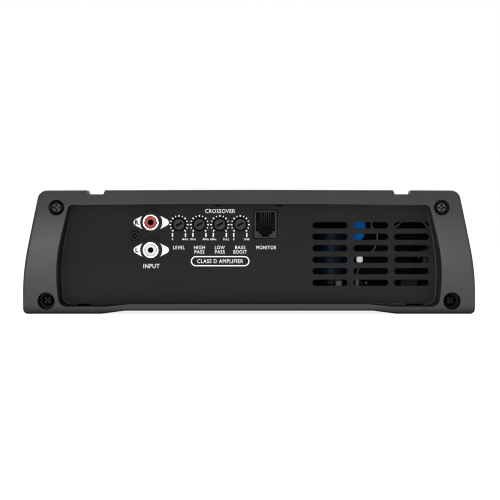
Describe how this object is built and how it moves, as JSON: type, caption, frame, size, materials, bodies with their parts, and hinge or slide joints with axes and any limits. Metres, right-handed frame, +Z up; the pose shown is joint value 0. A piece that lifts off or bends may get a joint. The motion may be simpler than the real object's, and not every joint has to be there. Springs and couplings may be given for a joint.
{
  "type": "car audio amplifier",
  "caption": "Flat finned car audio amplifier with moulded end frames, recessed control panel with RCA inputs, trim pots and vents, terminals and fan at the back.",
  "frame": {"origin": "centre of the footprint, on the plane the feet stand on", "axes": "+X across the width, to the right as one faces the controls; +Y from the control end to the terminal end; +Z up"},
  "size_m": [0.2348, 0.256, 0.0645],
  "materials": {
    "frame_plastic": "satin dark grey, fine grain",
    "anodised": "black anodised extrusion",
    "black_steel": "matt black powder coat",
    "dark_screw": "black oxide",
    "panel_paint": "matt black, printed legends",
    "black_plastic": "moulded",
    "nickel": "nickel plate",
    "red_plastic": "gloss",
    "white_plastic": "gloss",
    "grey_plastic": "moulded",
    "gold": "plated",
    "board_green": "solder resist",
    "zinc": "zinc plate",
    "epoxy": "moulded epoxy",
    "pad_grey": "thermal pad",
    "sleeve_navy": "shrink sleeve",
    "disc_blue": "dipped epoxy",
    "ferrite": "sintered",
    "copper": "enamelled wire",
    "wire_grey": "insulation",
    "brass": "turned, nickel flash",
    "lamp_blue": "tinted clear",
    "lamp_red": "tinted clear"
  },
  "bodies": {
    "amplifier": {"front_frame": "frame_plastic", "rear_frame": "frame_plastic", "front_frame_screws": "dark_screw", "rear_frame_screws": "dark_screw", "heatsink": "anodised", "base_plate": "black_steel", "base_screws": "dark_screw", "front_panel": "panel_paint", "rear_panel": "panel_paint", "rca_housing": "black_plastic", "rca_shells": "nickel", "rca_red_insert": "red_plastic", "rca_white_insert": "white_plastic", "rca_center_contacts": "gold", "rca_screw": "dark_screw", "monitor_jack": "grey_plastic", "monitor_jack_contacts": "gold", "input_board": "board_green", "board_link": "black_plastic", "main_board": "board_green", "board_pillars": "zinc", "board_screws": "zinc", "transistors": "epoxy", "insulator_strips": "pad_grey", "clamp_bars": "black_steel", "clamp_bar_screws": "dark_screw", "rail_capacitors": "sleeve_navy", "surge_disc": "disc_blue", "film_capacitors": "epoxy", "transformer_core": "ferrite", "transformer_winding": "copper", "inductor_cores": "ferrite", "inductor_windings": "copper", "driver_chips": "epoxy", "loom_plugs": "white_plastic", "loom_wires": "wire_grey", "fan_frame": "black_plastic", "fan_screws": "dark_screw", "power_block": "black_plastic", "speaker_block": "black_plastic", "remote_block": "black_plastic", "power_clamps": "brass", "speaker_clamps": "brass", "remote_clamps": "brass", "power_lamp": "lamp_blue", "protect_lamp": "lamp_red", "level_pot": "black_plastic", "high_pass_pot": "black_plastic", "low_pass_pot": "black_plastic", "bass_boost_pot": "black_plastic"},
    "level_shaft": {"level_shaft": "grey_plastic"},
    "high_pass_shaft": {"high_pass_shaft": "grey_plastic"},
    "low_pass_shaft": {"low_pass_shaft": "grey_plastic"},
    "bass_boost_shaft": {"bass_boost_shaft": "grey_plastic"},
    "fan_rotor": {"fan_rotor": "black_plastic"},
    "positive_screw": {"positive_screw": "zinc"},
    "negative_screw": {"negative_screw": "zinc"},
    "speaker_positive_screw": {"speaker_positive_screw": "zinc"},
    "speaker_negative_screw": {"speaker_negative_screw": "zinc"},
    "remote_screw": {"remote_screw": "zinc"}
  },
  "joints": [
    {"name": "level_turn", "type": "hinge", "parent": "amplifier", "child": "level_shaft", "pos_m": [-0.0366, -0.11, 0.0465], "axis": [0, 1, 0], "range_deg": [-17, 253]},
    {"name": "high_pass_turn", "type": "hinge", "parent": "amplifier", "child": "high_pass_shaft", "pos_m": [-0.02593, -0.11, 0.0465], "axis": [0, 1, 0], "range_deg": [-17, 253]},
    {"name": "low_pass_turn", "type": "hinge", "parent": "amplifier", "child": "low_pass_shaft", "pos_m": [-0.01526, -0.11, 0.0465], "axis": [0, 1, 0], "range_deg": [-17, 253]},
    {"name": "bass_boost_turn", "type": "hinge", "parent": "amplifier", "child": "bass_boost_shaft", "pos_m": [-0.00459, -0.11, 0.0465], "axis": [0, 1, 0], "range_deg": [-17, 253]},
    {"name": "fan_spin", "type": "hinge", "parent": "amplifier", "child": "fan_rotor", "pos_m": [-0.063, 0.107, 0.0312], "axis": [0, 1, 0], "continuous": true},
    {"name": "positive_screw_travel", "type": "slide", "parent": "amplifier", "child": "positive_screw", "axis": [0, 0, -1], "range_m": [0, 0.007]},
    {"name": "negative_screw_travel", "type": "slide", "parent": "amplifier", "child": "negative_screw", "axis": [0, 0, -1], "range_m": [0, 0.007]},
    {"name": "speaker_positive_screw_travel", "type": "slide", "parent": "amplifier", "child": "speaker_positive_screw", "axis": [0, 0, -1], "range_m": [0, 0.0044]},
    {"name": "speaker_negative_screw_travel", "type": "slide", "parent": "amplifier", "child": "speaker_negative_screw", "axis": [0, 0, -1], "range_m": [0, 0.0044]},
    {"name": "remote_screw_travel", "type": "slide", "parent": "amplifier", "child": "remote_screw", "axis": [0, 0, -1], "range_m": [0, 0.0024]}
  ]
}
